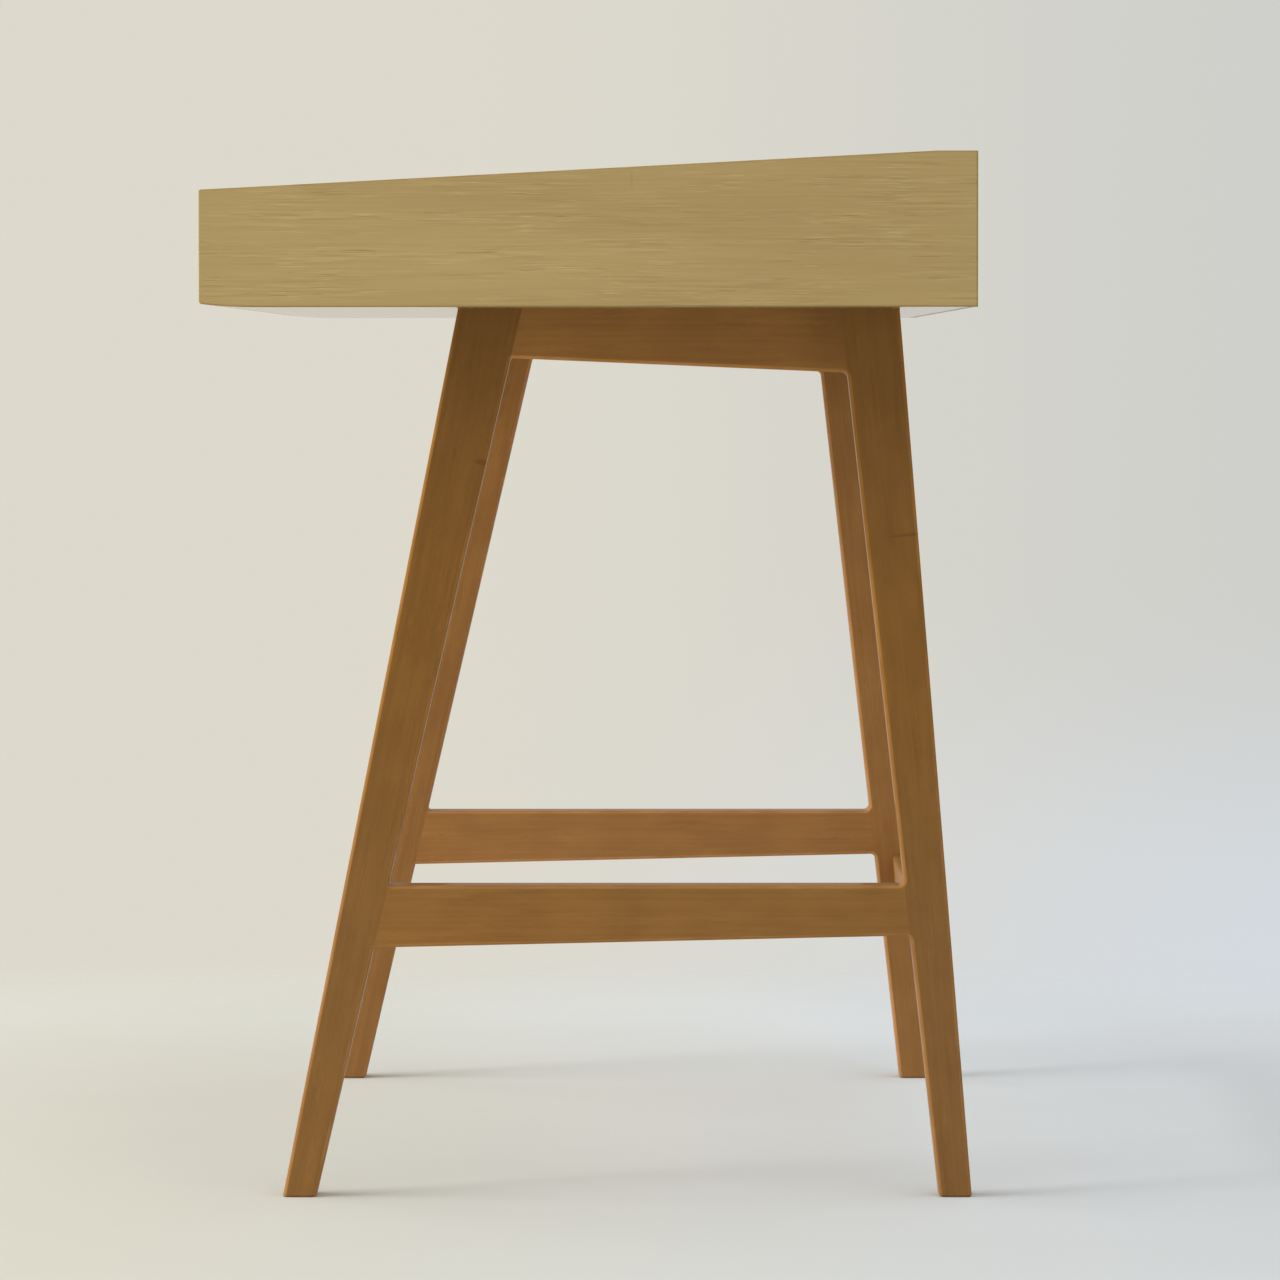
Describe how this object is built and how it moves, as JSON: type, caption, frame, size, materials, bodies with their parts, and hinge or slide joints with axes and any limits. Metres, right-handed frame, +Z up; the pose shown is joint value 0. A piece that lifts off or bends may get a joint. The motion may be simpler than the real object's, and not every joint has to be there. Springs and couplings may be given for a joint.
{
  "type": "writing desk",
  "caption": "Writing desk: shallow oak case with a sloping lift-up lid on two splayed side frames, joined by a rear cross-rail.",
  "frame": {"origin": "on the floor, in the middle of the overall length and depth", "axes": "+X along the desk to the right as the user sees it, +Y from the user to the rear, +Z up"},
  "size_m": [1.2, 0.5689, 0.781],
  "materials": {
    "oak": "satin lacquered pale oak",
    "frame_wood": "oiled golden-brown hardwood",
    "joint_wood": "plain beech",
    "brass": "satin",
    "steel": "zinc plated",
    "pad": "matt"
  },
  "bodies": {
    "desk": {"front_panel": "oak", "back_panel": "oak", "bottom_panel": "oak", "rear_top_rail": "oak", "right_side_panel": "oak", "left_side_panel": "oak", "rear_cross_rail": "frame_wood", "right_front_leg": "frame_wood", "right_rear_leg": "frame_wood", "right_top_rail": "frame_wood", "right_side_stretcher": "frame_wood", "left_front_leg": "frame_wood", "left_rear_leg": "frame_wood", "left_top_rail": "frame_wood", "left_side_stretcher": "frame_wood", "front_panel_dowels": "joint_wood", "back_panel_dowels": "joint_wood", "rear_rail_dowels": "joint_wood", "cross_rail_tenons": "joint_wood", "right_top_rail_tenons": "joint_wood", "right_stretcher_tenons": "joint_wood", "left_top_rail_tenons": "joint_wood", "left_stretcher_tenons": "joint_wood", "bottom_screws": "brass", "right_hinge_case_leaf": "brass", "right_hinge_pin": "brass", "right_hinge_washer": "brass", "right_hinge_case_screws": "brass", "right_stay_guide": "brass", "right_stay_guide_screws": "brass", "right_frame_inserts": "brass", "left_hinge_case_leaf": "brass", "left_hinge_pin": "brass", "left_hinge_washer": "brass", "left_hinge_case_screws": "brass", "left_stay_guide": "brass", "left_stay_guide_screws": "brass", "left_frame_inserts": "brass", "right_frame_bolts": "steel", "right_frame_washers": "steel", "left_frame_bolts": "steel", "left_frame_washers": "steel", "lid_bumpers": "pad"},
    "lid": {"lid": "oak", "right_hinge_lid_leaf": "brass", "right_hinge_lid_screws": "brass", "right_lid_stay": "brass", "right_stay_stop_pin": "brass", "right_stay_foot_screws": "brass", "left_hinge_lid_leaf": "brass", "left_hinge_lid_screws": "brass", "left_lid_stay": "brass", "left_stay_stop_pin": "brass", "left_stay_foot_screws": "brass"}
  },
  "joints": [
    {"name": "lid_hinge", "type": "hinge", "parent": "desk", "child": "lid", "pos_m": [0, 0.2335, 0.7711], "axis": [-1, 0, 0], "range_deg": [0, 97]}
  ]
}
